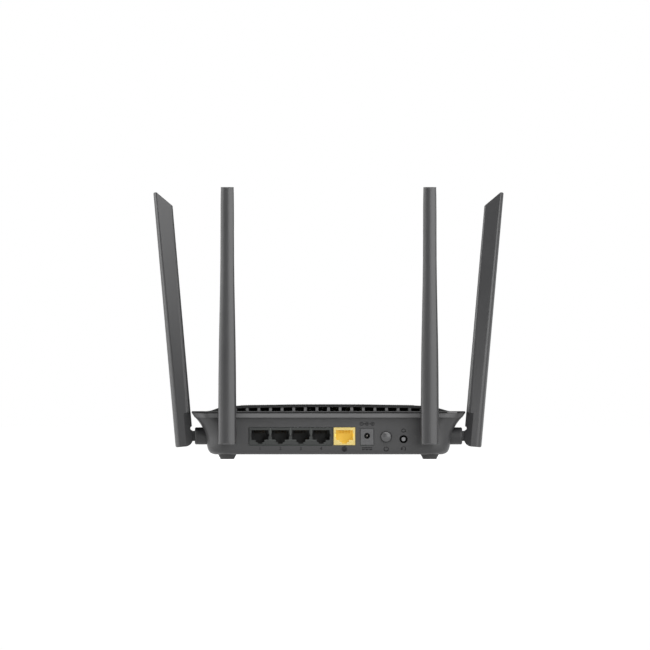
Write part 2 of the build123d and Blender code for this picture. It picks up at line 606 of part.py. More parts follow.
def main_board():
    board = block((-70, 70), (-42, 50), (BOARD_BOTTOM, BOARD_TOP))
    board += block((-58, 58), (49, 55.5), (BOARD_BOTTOM, BOARD_TOP))
    board += block((-32, 32), (-56, -41), (BOARD_BOTTOM, BOARD_TOP))
    return board - [upright(x, y, 0, 20, BOARD_SCREW + 0.4) for x, y in BOARD_PILLARS]


def heat_sink():
    half = SINK_SIZE / 2
    sink = chip(SOC_X, SOC_Y, SINK_SIZE, SINK_SIZE, PAD_TOP, SINK_TOP)
    pitch = (SINK_SIZE - 1.4) / (SINK_FINS - 1)
    for n in range(SINK_FINS - 1):
        start = SOC_X - half + 1.4 + n * pitch
        sink -= block((start, start + pitch - 1.4), (SOC_Y - half - 1, SOC_Y + half + 1), (PAD_TOP + 2.4, 60))
    return sink


def shield_can(x, y):
    """A pressed shield: a tin box with its bottom open."""
    can = chip(x, y, 30, 26, BOARD_TOP, BOARD_TOP + 3.2)
    return fillet(can.edges().group_by(Axis.Z)[-1], 0.6) - chip(x, y, 29.4, 25.4, 0, BOARD_TOP + 2.9)


def radio_chip(x, y):
    return chip(x, y, 9, 9, BOARD_TOP, BOARD_TOP + 0.9)


def capacitors():
    cans = [upright(x, y, BOARD_TOP, BOARD_TOP + h, r) for x, y, r, h in
            ((-26, 29, 4.0, 11.0), (-37, 29, 4.0, 11.0), (34, 24, 3.15, 8.0))]
    return group(fillet(can.edges().group_by(Axis.Z)[-1], 0.5) for can in cans)


def board_screws():
    """Pan-head screws that hold the board on its pillars."""
    screws = []
    for x, y in BOARD_PILLARS:
        head = fillet(upright(x, y, BOARD_TOP, BOARD_TOP + 1.6, BOARD_HEAD).edges().group_by(Axis.Z)[-1], 0.6)
        screw = head + upright(x, y, BOARD_BOTTOM - 2.4, BOARD_TOP + 0.1, BOARD_SCREW)
        screws.append(screw - cross_recess(x, y, BOARD_TOP + 0.9, BOARD_TOP + 2))
    return group(screws)


def case_screws():
    """Long self-tapping screws from the underside into the cover's posts."""
    screws = []
    for x, y in CASE_POSTS:
        screw = upright(x, y, CASE_HEAD_TOP - 1.9, CASE_HEAD_TOP, CASE_HEAD)
        screw += upright(x, y, CASE_HEAD_TOP - 0.1, POST_SPLIT + 8, CASE_SCREW)
        screws.append(screw - cross_recess(x, y, CASE_HEAD_TOP - 3, CASE_HEAD_TOP - 1.0))
    return group(screws)


def cross_recess(x, y, z0, z1):
    """A cross-head driver recess."""
    return chip(x, y, 2.6, 0.7, z0, z1) + chip(x, y, 0.7, 2.6, z0, z1)


def board_pieces():
    """What is soldered to the board, by node name."""
    z = BOARD_TOP
    return {
        "main_processor": chip(SOC_X, SOC_Y, 14, 14, z, SOC_TOP),
        "thermal_pad": chip(SOC_X, SOC_Y, 13, 13, SOC_TOP, PAD_TOP),
        "heat_sink": heat_sink(),
        "memory_chips": group([chip(-23, 9, 9, 12, z, z + 1.1), chip(-23, -9, 9, 12, z, z + 1.1)]),
        "flash_chip": chip(-23, -26, 6, 8, z, z + 1.6),
        "radio_chips": group([radio_chip(-50, -10), radio_chip(50, -10)]),
        "shield_can_left": shield_can(-50, -10),
        "shield_can_right": shield_can(50, -10),
        "isolation_transformers": group([chip(x, 31.5, 12.4, 7.2, z, z + 4.6) for x in (*LAN_XS, WAN_X)]),
        "capacitors": capacitors(),
        "power_inductors": group([chip(-50, 30, 7.0, 7.0, z, z + 4.0), chip(-60, 30, 5.0, 5.0, z, z + 3.0)]),
        "crystals": group([chip(-10, 23.5, 5.0, 3.2, z, z + 1.2), chip(30, -27, 3.2, 2.5, z, z + 0.8)]),
        "status_lamps": group([chip(x, LED_Y, 1.6, 0.9, z, z + 0.7) for x in LED_XS]),
        "coax_sockets": coax_sockets(),
    }


# ---------------------------------------------------------------- the whole router
def all_nodes():
    nodes = {
        "lower_case": lower_case(),
        "top_cover": top_cover(),
        "rubber_feet": rubber_feet(),
        "underside_label": label(0),
        "light_guide": light_guide(),
        "vent_grille": vent_grille(),
        "main_board": main_board(),
        "lan_socket_block": socket_housing(LAN_X, LAN_WIDTH, LAN_XS),
        "lan_contacts": socket_contacts(LAN_XS),
        "wan_socket": socket_housing(WAN_X, WAN_WIDTH, [WAN_X]),
        "wan_contacts": socket_contacts([WAN_X]),
        "power_jack": power_jack(),
        "power_jack_pin": power_jack_pin(),
        "power_switch": power_switch(),
        "power_plunger": power_plunger(),
        "power_button": power_button(),
        "reset_switch": reset_switch(),
        "reset_plunger": reset_plunger(),
        "board_screws": board_screws(),
        "case_screws": case_screws(),
        **board_pieces(),
    }
    knuckle, ring, blade, strip = antenna_knuckle(), retaining_ring(), antenna_blade(), radiator()
    for place in ANTENNAS:
        nodes[f"{place.name}_knuckle"] = place.fixed * knuckle
        nodes[f"{place.name}_retaining_ring"] = place.fixed * ring
        nodes[f"{place.name}_blade"] = place.leaning * blade
        nodes[f"{place.name}_radiator"] = place.leaning * strip
        nodes[f"{place.name}_lead"] = antenna_lead(place)
    return nodes


for node, shape in all_nodes().items():
    export_step(shape, f"parts/{node}.step")
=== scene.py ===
"""Looks of a four-antenna desktop router: finishes, fine pieces, studio and camera."""

import logging
import math
from dataclasses import dataclass, field
from enum import Enum
from typing import Any, Sequence

import bpy
from mathutils import Matrix, Vector
from mathutils.bvhtree import BVHTree


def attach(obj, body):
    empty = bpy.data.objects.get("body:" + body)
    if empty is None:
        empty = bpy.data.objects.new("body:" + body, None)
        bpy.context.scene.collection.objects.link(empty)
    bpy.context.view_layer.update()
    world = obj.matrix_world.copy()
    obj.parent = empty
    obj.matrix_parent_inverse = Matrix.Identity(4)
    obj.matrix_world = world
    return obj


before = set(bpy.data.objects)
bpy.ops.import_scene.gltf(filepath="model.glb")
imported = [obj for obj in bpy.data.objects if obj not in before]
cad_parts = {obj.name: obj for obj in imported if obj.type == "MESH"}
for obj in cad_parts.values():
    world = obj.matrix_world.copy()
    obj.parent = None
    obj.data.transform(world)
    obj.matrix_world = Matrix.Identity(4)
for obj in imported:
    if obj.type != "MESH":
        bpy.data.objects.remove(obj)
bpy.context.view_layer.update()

log = logging.getLogger("router")
MM = 0.001
# Marks and studs are dropped on the deck from this height, in metres.
DROP_HEIGHT = 0.1
# A wave texture at a scale of 1 has about this many bands in a metre.
BANDS_AT_SCALE_ONE = 3.2
# Rows of a staggered field lie this many pitches apart.
ROW_RATIO = 0.87

NodeLink = tuple[bpy.types.Node, str]


# ---------------------------------------------------------------- shared helpers
def linear(code: str) -> tuple[float, float, float, float]:
    """Turn an sRGB hex code into a linear colour.

    Args:
        code: Six hex digits, with or without a leading #.

    Returns:
        Linear red, green and blue, and an alpha of 1.
    """
    digits = code.lstrip("#")
    parts = [int(digits[i:i + 2], 16) / 255 for i in (0, 2, 4)]
    red, green, blue = (p / 12.92 if p <= 0.04045 else ((p + 0.055) / 1.055) ** 2.4 for p in parts)
    return red, green, blue, 1.0


def add_node(
    tree: bpy.types.NodeTree,
    kind: str,
    settings: dict[str, Any] | None = None,
    **inputs: Any,
) -> bpy.types.Node:
    """Add a node with its settings, input values and links.

    Args:
        tree: The tree that gets the node.
        kind: The node's type name, such as ShaderNodeBump.
        settings: Attributes to set on the node itself.
        **inputs: Input sockets by name, with _ for a space. A value sets the socket, and
            a (node, output name) pair links to it. Names like i0 pick a socket by number.

    Returns:
        The new node.
    """
    node = tree.nodes.new(kind)
    for name, value in (settings or {}).items():
        setattr(node, name, value)
    for name, value in inputs.items():
        by_number = name[0] == "i" and name[1:].isdigit()
        socket = node.inputs[int(name[1:])] if by_number else node.inputs[name.replace("_", " ")]
        if isinstance(value, tuple) and value and isinstance(value[0], bpy.types.Node):
            tree.links.new(value[0].outputs[value[1]], socket)
        else:
            socket.default_value = value
    return node


# ---------------------------------------------------------------- finishes
@dataclass(frozen=True)
class Finish:
    """A surface made from one material by one process.

    Attributes:
        name: What the material is and how its surface was made.
        colour: Main colour as an sRGB code.
        accent: Colour that the slow mottling drifts to.
        roughness: Mean roughness.
        roughness_spread: How far the roughness drifts either way.
        ior: Index of refraction.
        metallic: 1 for a bare metal.
        grain_mm: Size of the surface grain.
        grain_height_mm: How deep the grain looks.
        mottle_mm: Size of the slow drift in colour and roughness.
    """

    name: str
    colour: str
    accent: str
    roughness: float = 0.5
    roughness_spread: float = 0.05
    ior: float = 1.5
    metallic: float = 0.0
    grain_mm: float = 0.8
    grain_height_mm: float = 0.02
    mottle_mm: float = 25.0

    def build(self) -> bpy.types.Material:
        """Make the material, or return it if it is already made."""
        made = bpy.data.materials.get(self.name)
        if made is not None:
            return made
        material = bpy.data.materials.new(self.name)
        material.use_nodes = True
        tree = material.node_tree
        tree.nodes.clear()
        shader = add_node(tree, "ShaderNodeBsdfPrincipled", Metallic=self.metallic)
        if not self.metallic:
            shader.inputs["IOR"].default_value = self.ior
        place = add_node(tree, "ShaderNodeTexCoord")
        self.paint(tree, shader, (place, "Object"))
        add_node(tree, "ShaderNodeOutputMaterial", Surface=(shader, "BSDF"))
        return material

    def paint(self, tree: bpy.types.NodeTree, shader: bpy.types.Node, place: NodeLink) -> None:
        """Drive colour, roughness and bump from the surface's own detail.

        Args:
            tree: The material's tree.
            shader: Its surface shader.
            place: The object coordinates.
        """
        drift = add_node(
            tree, "ShaderNodeTexNoise", Vector=place, Scale=1 / (self.mottle_mm * MM), Detail=2.0,
        )
        blend = add_node(
            tree, "ShaderNodeMix", {"data_type": "RGBA"},
            Factor=(drift, "Fac"), i6=linear(self.colour), i7=linear(self.accent),
        )
        tree.links.new(blend.outputs[2], shader.inputs["Base Color"])
        sheen = add_node(
            tree, "ShaderNodeMapRange", Value=(drift, "Fac"), i3=self.roughness - self.roughness_spread,
            i4=self.roughness + self.roughness_spread,
        )
        tree.links.new(sheen.outputs["Result"], shader.inputs["Roughness"])
        self.relief(tree, shader, place)

    def relief(self, tree: bpy.types.NodeTree, shader: bpy.types.Node, place: NodeLink) -> None:
        """Raise the grain.

        Args:
            tree: The material's tree.
            shader: Its surface shader.
            place: The object coordinates.
        """
        grain = add_node(tree, "ShaderNodeTexNoise", Vector=place, Scale=1 / (self.grain_mm * MM), Detail=3.0)
        bump = add_node(
            tree, "ShaderNodeBump", Height=(grain, "Fac"), Distance=self.grain_height_mm * MM, Strength=0.6,
        )
        tree.links.new(bump.outputs["Normal"], shader.inputs["Normal"])


@dataclass(frozen=True)
class BrushedMetal(Finish):
    """A metal face with fine lines drawn along X.

    Attributes:
        squeeze: What the grain is scaled to along X, so that it runs out into lines.
    """

    squeeze: float = 0.06

    def relief(self, tree: bpy.types.NodeTree, shader: bpy.types.Node, place: NodeLink) -> None:
        """Raise the brush lines.

        Args:
            tree: The material's tree.
            shader: Its surface shader.
            place: The object coordinates.
        """
        stretch = add_node(tree, "ShaderNodeMapping", Vector=place, Scale=(self.squeeze, 1.0, 1.0))
        super().relief(tree, shader, (stretch, "Vector"))


@dataclass(frozen=True)
class SocketMoulding(Finish):
    """A socket block whose throats get a painted colour over the face's: painted shade where it is darker, painted
    light where it is paler.

    Attributes:
        throat: Colour painted in the throats, as an sRGB code: painted shade where darker than the face, painted light
            where paler.
        face_y: Where the block's face is, in metres.
        glow: Strength of the painted light that the throats give off, though they are no lamp.
        fade_start_mm: How far behind the face the throat's colour starts to give way.
        fade_end_mm: How far behind the face only the face's colour is left.
    """

    throat: str = "#000000"
    face_y: float = 0.058
    glow: float = 0.0
    fade_start_mm: float = 1.2
    fade_end_mm: float = 0.2

    def paint(self, tree: bpy.types.NodeTree, shader: bpy.types.Node, place: NodeLink) -> None:
        """Blend from the face's colour to the throat's painted colour over the first millimetre, and give the throats
        painted light of their own.

        Args:
            tree: The material's tree.
            shader: Its surface shader.
            place: The object coordinates.
        """
        super().paint(tree, shader, place)
        face = shader.inputs["Base Color"].links[0].from_node
        apart = add_node(tree, "ShaderNodeSeparateXYZ", Vector=place)
        # Mask for the throats' painted colour: 0 deep in the throats, 1 near the face.
        depth = add_node(
            tree, "ShaderNodeMapRange", Value=(apart, "Y"), i1=self.face_y - self.fade_start_mm * MM,
            i2=self.face_y - self.fade_end_mm * MM,
        )
        blend = add_node(
            tree, "ShaderNodeMix", {"data_type": "RGBA"},
            Factor=(depth, "Result"), i6=linear(self.throat), i7=(face, 2),
        )
        tree.links.new(blend.outputs[2], shader.inputs["Base Color"])
        # Painted light: the throats give off light in their own colour, though they are no lamp.
        if self.glow:
            throat_painted_light_ramp = add_node(tree, "ShaderNodeMapRange", Value=(depth, "Result"), i3=self.glow, i4=0.0)
            shader.inputs["Emission Color"].default_value = linear(self.throat)
            tree.links.new(throat_painted_light_ramp.outputs["Result"], shader.inputs["Emission Strength"])


@dataclass(frozen=True)
class WoundCopper(Finish):
    """Turns of enamelled wire: fine rings stacked up Z."""

    def relief(self, tree: bpy.types.NodeTree, shader: bpy.types.Node, place: NodeLink) -> None:
        """Raise the turns.

        Args:
            tree: The material's tree.
            shader: Its surface shader.
            place: The object coordinates.
        """
        scale = 1 / (self.grain_mm * MM * BANDS_AT_SCALE_ONE)
        turns = add_node(tree, "ShaderNodeTexWave", {"bands_direction": "Z"}, Vector=place, Scale=scale)
        bump = add_node(tree, "ShaderNodeBump", Height=(turns, "Fac"), Distance=self.grain_height_mm * MM)
        tree.links.new(bump.outputs["Normal"], shader.inputs["Normal"])


# ABS from a spark-eroded mould: a dull, even grain, drawn coarser than its real 0.1 mm so that it shows.
CASE_ABS = Finish("abs_spark_eroded", "#1b1b1c", "#212122", 0.5, 0.05, 1.53, 0.0, 0.9, 0.02, 30)
# ABS from a polished mould: near black, with soft-edged mirror images of the lights.
COVER_ABS = Finish("abs_polished_black", "#060607", "#0a0a0b", 0.13, 0.04, 1.53, 0.0, 1.2, 0.003, 40)
# The antennas' sleeves come from a finer-grained tool: satin, with long soft highlights.
ANTENNA_ABS = Finish("abs_fine_grain", "#1f1f20", "#252526", 0.36, 0.04, 1.53, 0.0, 0.7, 0.008, 30)
# The turning knuckles are nylon, darker and duller than the sleeves.
KNUCKLE_NYLON = Finish("nylon_moulded_black", "#121213", "#18181a", 0.55, 0.06, 1.53, 0.0, 0.7, 0.015, 8)
# Soft feet: a chalky bloom on dark rubber.
FOOT_RUBBER = Finish("rubber_moulded", "#262626", "#2e2e2e", 0.8, 0.05, 1.52, 0.0, 0.9, 0.03, 8)
# Glass-filled PBT has a faint cloudiness where fibres meet the face. The black block's darker throats are painted
# shade; the yellow socket's paler, light-giving throats are painted light.
BLACK_PBT = SocketMoulding(
    "pbt_glass_filled_black", "#0c0f0e", "#121614", 0.55, 0.08, 1.5, 0.0, 0.7, 0.015, 6, "#050706", 0.0585)
YELLOW_PBT = SocketMoulding(
    "pbt_glass_filled_yellow", "#ab9959", "#9e8b4d", 0.45, 0.08, 1.55, 0.0, 0.7, 0.015, 6, "#e8cf5c", 0.0585, 0.2)
# Strips on the socket face, painted paler than the block: a painted highlight along the ledges that catch the light.
STRIP_PBT = Finish("pbt_rubbed_edge", "#232624", "#2e312f", 0.5, 0.08, 1.55, 0.0, 0.7, 0.01, 4)
# The jack is pressed from the same grey as the case, a little lighter for being smoother.
JACK_ABS = Finish("abs_satin_jack", "#353536", "#3d3d3e", 0.4, 0.05, 1.53, 0.0, 0.7, 0.012, 6)
# Button cap: satin.
CAP_ABS = Finish("abs_satin_cap", "#303031", "#3a3a3b", 0.34, 0.08, 1.53, 0.0, 0.8, 0.01, 5)
# The comb behind the vent is satin, painted a lighter grey than the case and the black cover over it: a painted
# highlight for the light its ribs catch.
GRILLE_ABS = Finish("abs_satin_grille", "#343435", "#3d3d3e", 0.45, 0.05, 1.53, 0.0, 0.7, 0.01, 6)
PLUNGER_ACETAL = Finish("acetal_moulded_grey", "#5c5c5d", "#666667", 0.45, 0.05, 1.48, 0.0, 0.6, 0.01, 3)
# Pad-printed ink: thin and matt, nearly black on the grey case.
PANEL_INK = Finish("ink_pad_printed_dark", "#050506", "#0a0a0b", 0.8, 0.05, 1.35, 0.0, 0.4, 0.006, 4)
DECK_INK = Finish("ink_pad_printed_pale", "#8d8f91", "#9c9ea0", 0.6, 0.05, 1.5, 0.0, 0.4, 0.006, 4)
GOLD = BrushedMetal("gold_flash_plated", "#e0b860", "#c89a48", 0.25, 0.05, 1.5, 1.0, 0.6, 0.005, 4)
NICKEL = Finish("nickel_plated_worn", "#77756f", "#67655f", 0.4, 0.06, 1.5, 1.0, 0.6, 0.005, 4)
# Solder mask over glass laminate: glossy green with the weave just showing.
BOARD = Finish("solder_mask_green", "#1c5a34", "#184f2d", 0.3, 0.05, 1.5, 0.0, 1.5, 0.01, 6)
STEEL = BrushedMetal("steel_black_oxide", "#3a3a3b", "#2c2c2d", 0.35, 0.08, 1.5, 1.0, 0.8, 0.01, 3)
SPRING_STEEL = BrushedMetal("spring_steel_polished", "#8f9194", "#7d7f82", 0.3, 0.06, 1.5, 1.0, 0.6, 0.006, 3)
TIN = BrushedMetal("steel_tinned", "#b9bab8", "#a5a6a4", 0.3, 0.06, 1.5, 1.0, 1.0, 0.006, 6)
ALUMINIUM = BrushedMetal("aluminium_anodised", "#9fa1a3", "#8e9092", 0.38, 0.05, 1.5, 1.0, 0.7, 0.01, 8)
RESIN = Finish("epoxy_moulded", "#232325", "#2a2a2c", 0.6, 0.08, 1.5, 0.0, 0.5, 0.01, 3)
SLEEVE_PVC = Finish("pvc_shrink_sleeve", "#26303c", "#2d3846", 0.35, 0.05, 1.52, 0.0, 1.2, 0.006, 6)
FERRITE = WoundCopper("ferrite_wound", "#3d3733", "#4a3a2c", 0.5, 0.08, 1.5, 0.0, 0.3, 0.03, 3)
SILICONE = Finish("silicone_pad_pressed", "#8b98a5", "#97a4b0", 0.7, 0.05, 1.41, 0.0, 0.6, 0.02, 4)
LAMP_EPOXY = Finish("epoxy_lamp_white", "#d9dcd6", "#cfd2cb", 0.3, 0.05, 1.5, 0.0, 0.4, 0.005, 2)
JACKET_PFA = Finish("pfa_jacket_black", "#1e1e20", "#262628", 0.35, 0.05, 1.35, 0.0, 0.5, 0.004, 6)
LAMINATE = Finish("laminate_etched_copper", "#8a6a3c", "#2f4f35", 0.4, 0.06, 1.5, 0.0, 0.8, 0.01, 4)
FILM = Finish("polyester_film_satin", "#b4b6b8", "#abadaf", 0.4, 0.04, 1.6, 0.0, 1.2, 0.004, 12)
CLEAR = Finish("polycarbonate_frosted", "#c3c9cd", "#b7bdc2", 0.25, 0.05, 1.58, 0.0, 0.8, 0.006, 10)


def dress_node(name: str, finish: Finish) -> None:
    """Give a CAD node its finish.

    Args:
        name: The node.
        finish: Its surface.
    """
    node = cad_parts[name]
    material = finish.build()
    if not node.data.materials:
        node.data.materials.append(material)
    for index in range(len(node.data.materials)):
        node.data.materials[index] = material
    log.info("dressed %s in %s", name, finish.name)


# ---------------------------------------------------------------- making pieces
def settle(obj: bpy.types.Object, body: str) -> None:
    """Hang a finished piece on its body.

    Args:
        obj: The piece, with its place in its mesh.
        body: The body that it moves with.
    """
    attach(obj, body)
    log.info("built %s, %d faces", obj.name, len(obj.data.polygons))


def plain_mesh(obj: bpy.types.Object) -> bpy.types.Mesh:
    """Read an object's evaluated shape as a new mesh.

    Args:
        obj: A mesh, curve or text object.

    Returns:
        The mesh.
    """
    bpy.context.view_layer.update()
    return bpy.data.meshes.new_from_object(obj.evaluated_get(bpy.context.evaluated_depsgraph_get()))


def grow(name: str, tree: bpy.types.NodeTree, sizes: dict[str, Any]) -> bpy.types.Object:
    """Run a geometry tree and keep its result as a plain mesh.

    Args:
        name: The piece's name.
        tree: The geometry tree.
        sizes: Its inputs by name.

    Returns:
        The piece, with no modifier.
    """
    obj = bpy.data.objects.new(name, bpy.data.meshes.new(name))
    bpy.context.scene.collection.objects.link(obj)
    modifier = obj.modifiers.new("grow", "NODES")
    modifier.node_group = tree
    for item in tree.interface.items_tree:
        if item.item_type == "SOCKET" and item.in_out == "INPUT" and item.name in sizes:
            modifier[item.identifier] = sizes[item.name]
    mesh = plain_mesh(obj)
    obj.modifiers.remove(modifier)
    obj.data = mesh
    return obj


def start_tree(name: str, sizes: dict[str, str]) -> tuple[bpy.types.NodeTree, bpy.types.Node]:
    """Start a geometry tree with named inputs.

    Args:
        name: The tree's name.
        sizes: Socket kinds by input name.

    Returns:
        The tree and its input node.
    """
    tree = bpy.data.node_groups.new(name, "GeometryNodeTree")
    tree.interface.new_socket("Geometry", in_out="OUTPUT", socket_type="NodeSocketGeometry")
    for label, kind in sizes.items():
        tree.interface.new_socket(label, in_out="INPUT", socket_type=kind)
    return tree, add_node(tree, "NodeGroupInput")


def end_tree(tree: bpy.types.NodeTree, shape: NodeLink, finish: Finish) -> bpy.types.NodeTree:
    """Realize a tree's instances, set its material and join its output.

    Args:
        tree: The tree.
        shape: The geometry to finish.
        finish: Its surface.

    Returns:
        The same tree.
    """
    real = add_node(tree, "GeometryNodeRealizeInstances", Geometry=shape)
    dressed = add_node(tree, "GeometryNodeSetMaterial", Geometry=(real, "Geometry"), Material=finish.build())
    add_node(tree, "NodeGroupOutput", Geometry=(dressed, "Geometry"))
    return tree


@dataclass
class StudField:
    """A field of low studs moulded on the deck, in staggered rows.

    Attributes:
        width: Size of the field across, in metres.
        depth: Size of the field front to back, in metres.
        centre_y: Where the middle of the field is.
        pitch: Distance between studs in a row.
        radius: A stud's radius at its foot.
        height: How far a stud stands up.
        taper: A stud's radius at its top, as a share of that at its foot.
        sides: How many sides a stud has.
    """

    width: float = 116 * MM
    depth: float = 66 * MM
    centre_y: float = 2 * MM
    pitch: float = 3.0 * MM
    radius: float = 0.62 * MM
    height: float = 0.22 * MM
    taper: float = 0.6
    sides: int = 10

    def tree(self) -> bpy.types.NodeTree:
        """Make the tree: a staggered grid dropped on the deck, with a stud at each point.

        Returns:
            The tree.
        """
        size = "NodeSocketFloat"
        tree, given = start_tree("stud_field", {
            "Width": size, "Depth": size, "Centre": size, "Columns": "NodeSocketInt", "Rows": "NodeSocketInt",
            "Pitch": size, "Radius": size, "Height": size, "Deck": "NodeSocketObject",
        })
        grid = add_node(
            tree, "GeometryNodeMeshGrid", Size_X=(given, "Width"), Size_Y=(given, "Depth"),
            Vertices_X=(given, "Columns"), Vertices_Y=(given, "Rows"),
        )
        index = add_node(tree, "GeometryNodeInputIndex")
        in_row = add_node(
            tree, "ShaderNodeMath", {"operation": "MODULO"}, i0=(index, "Index"), i1=(given, "Rows"),
        )
        odd = add_node(tree, "ShaderNodeMath", {"operation": "MODULO"}, i0=(in_row, "Value"), i1=2.0)
        half = add_node(tree, "ShaderNodeMath", {"operation": "MULTIPLY"}, i0=(given, "Pitch"), i1=0.5)
        nudge = add_node(
            tree, "ShaderNodeMath", {"operation": "MULTIPLY"}, i0=(odd, "Value"), i1=(half, "Value"),
        )
        shift = add_node(tree, "ShaderNodeCombineXYZ", X=(nudge, "Value"), Y=(given, "Centre"), Z=DROP_HEIGHT)
        high = add_node(tree, "GeometryNodeSetPosition", Geometry=(grid, "Mesh"), Offset=(shift, "Vector"))
        deck = add_node(tree, "GeometryNodeObjectInfo", Object=(given, "Deck"))
        hit = add_node(tree, "GeometryNodeRaycast", Target_Geometry=(deck, "Geometry"), Ray_Length=1.0)
        landed = add_node(
            tree, "GeometryNodeSetPosition", Geometry=(high, "Geometry"), Position=(hit, "Hit Position"),
        )
        stud = add_node(
            tree, "GeometryNodeMeshCone", Vertices=self.sides, Radius_Bottom=(given, "Radius"), Depth=(given, "Height"),
        )
        top = add_node(tree, "ShaderNodeMath", {"operation": "MULTIPLY"}, i0=(given, "Radius"), i1=self.taper)
        tree.links.new(top.outputs["Value"], stud.inputs["Radius Top"])
        studs = add_node(
            tree, "GeometryNodeInstanceOnPoints", Points=(landed, "Geometry"), Instance=(stud, "Mesh"),
        )
        return end_tree(tree, (studs, "Instances"), COVER_ABS)

    def build(self) -> None:
        """Grow the studs on the deck."""
        rows = round(self.depth / (self.pitch * ROW_RATIO)) + 1
        piece = grow("deck_studs", self.tree(), {
            "Width": self.width, "Depth": self.depth, "Centre": self.centre_y,
            "Columns": round(self.width / self.pitch) + 1, "Rows": rows, "Pitch": self.pitch,
            "Radius": self.radius, "Height": self.height, "Deck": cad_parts["top_cover"],
        })
        settle(piece, "case")


class Lie(Enum):
    """Which way a strip lies on a socket block's face."""

    ACROSS = (0.0, math.pi / 2, 0.0)
    UPRIGHT = (0.0, 0.0, 0.0)


@dataclass
class FaceStrips:
    """Half-round strips moulded on the socket block's face, one for each wall between ports.

    Attributes:
        name: The piece's name.
        lie: Which way the strips lie.
        height_z: Height of their middles above the table.
        length: A strip's length.
        section: A strip's width.
        count: How many strips.
        pitch: Distance between ports.
        first_x: Where the first strip's middle is.
        face_y: The block's face.
        stand_out: How far in front of the strips' middles the face is, in radii.
        sides: How many sides a strip has.
    """

    name: str
    lie: Lie
    height_z: float
    length: float
    section: float
    count: int = 3
    pitch: float = 13.97 * MM
    first_x: float = 12.03 * MM
    face_y: float = 58.5 * MM
    stand_out: float = 0.3
    sides: int = 12

    def tree(self) -> bpy.types.NodeTree:
        """Make the tree: a line of points along X with a strip at each.

        Returns:
            The tree.
        """
        size = "NodeSocketFloat"
        tree, given = start_tree(self.name, {
            "Count": "NodeSocketInt", "Pitch": size, "Start": "NodeSocketVector", "Length": size, "Radius": size,
            "Lie": "NodeSocketVector",
        })
        step = add_node(tree, "ShaderNodeCombineXYZ", X=(given, "Pitch"))
        line = add_node(
            tree, "GeometryNodeMeshLine", Count=(given, "Count"), Start_Location=(given, "Start"),
            Offset=(step, "Vector"),
        )
        rod = add_node(
            tree, "GeometryNodeMeshCylinder", Vertices=self.sides, Radius=(given, "Radius"),
            Depth=(given, "Length"),
        )
        strips = add_node(
            tree, "GeometryNodeInstanceOnPoints", Points=(line, "Mesh"), Instance=(rod, "Mesh"),
            Rotation=(given, "Lie"),
        )
        # The strips' paler finish is a painted highlight.
        return end_tree(tree, (strips, "Instances"), STRIP_PBT)

    def build(self) -> None:
        """Grow the strips on the socket block."""
        radius = self.section / 2
        piece = grow(self.name, self.tree(), {
            "Count": self.count, "Pitch": self.pitch, "Length": self.length, "Radius": radius,
            "Start": (self.first_x, self.face_y - radius * self.stand_out, self.height_z), "Lie": self.lie.value,
        })
        settle(piece, "case")


# ---------------------------------------------------------------- printed marks
Stroke = list[tuple[float, float]]
# A bead of ink is this share as thick as it is wide.
BEAD_FLATNESS = 0.12
# A digit's ink stands this far either side of its plane.
DIGIT_INK_MM = 0.03
# A curve is drawn with a point at every so many degrees.
ARC_STEP = 15


def arc(radius: float, start: float, end: float, centre: tuple[float, float] = (0.0, 0.0)) -> Stroke:
    """Points along a circle, in millimetres.

    Args:
        radius: Its radius.
        start: First angle in degrees, anticlockwise from the right.
        end: Last angle.
        centre: Its centre.

    Returns:
        The points.
    """
    count = max(6, round(abs(end - start) / ARC_STEP))
    turns = [math.radians(start + (end - start) * n / count) for n in range(count + 1)]
    return [(centre[0] + radius * math.cos(t), centre[1] + radius * math.sin(t)) for t in turns]


class Icon(Enum):
    """The generic signs printed on the router, as strokes in millimetres."""

    POWER = (arc(1.5, 120, 420), [(0.0, 0.5), (0.0, 2.1)])
    GLOBE = (
        arc(1.7, 0, 360), [(-1.7, 0.0), (1.7, 0.0)], [(x * 0.45, y) for x, y in arc(1.7, 0, 360)],
        [(0.0, -1.7), (0.0, 1.7)],
    )
    POLARITY = (
        arc(1.1, 0, 360, (-3.8, 0)), [(-2.7, 0.0), (-1.1, 0.0)], arc(1.1, 35, 325), arc(0.35, 0, 360),
        [(0.5, 0.0), (2.7, 0.0)], arc(1.1, 0, 360, (3.8, 0)), [(-4.3, 0.0), (-3.3, 0.0)],
        [(3.3, 0.0), (4.3, 0.0)], [(3.8, -0.5), (3.8, 0.5)],
    )
    DIRECT_CURRENT = (
        [(-3.4, 0.6), (3.4, 0.6)], [(-3.4, -0.6), (-1.6, -0.6)], [(-0.9, -0.6), (0.9, -0.6)],
        [(1.6, -0.6), (3.4, -0.6)],
    )
    RESTART = (arc(1.4, -60, 210), [(-1.9, -0.1), (-1.2, -0.75), (-0.6, 0.05)])
    PAIRING = (arc(1.5, 200, 340, (0, 0.4)), arc(1.5, 20, 160, (0, -0.4)), [(1.4, -0.9), (1.5, 0.0)])
    WAVES = (arc(0.6, 45, 135), arc(1.3, 45, 135), arc(2.0, 45, 135), arc(0.2, 0, 360))
    NETWORK = ([(-1.4, -1.2), (-1.4, 0.0), (1.4, 0.0), (1.4, -1.2)], [(0.0, 0.0), (0.0, 1.3)])
    LINK = (arc(0.9, 0, 360, (-0.7, 0)), arc(0.9, 0, 360, (0.7, 0)))
    KEY = (arc(0.8, 0, 360, (-1.0, 0)), [(-0.2, 0.0), (1.7, 0.0), (1.7, -0.7)])


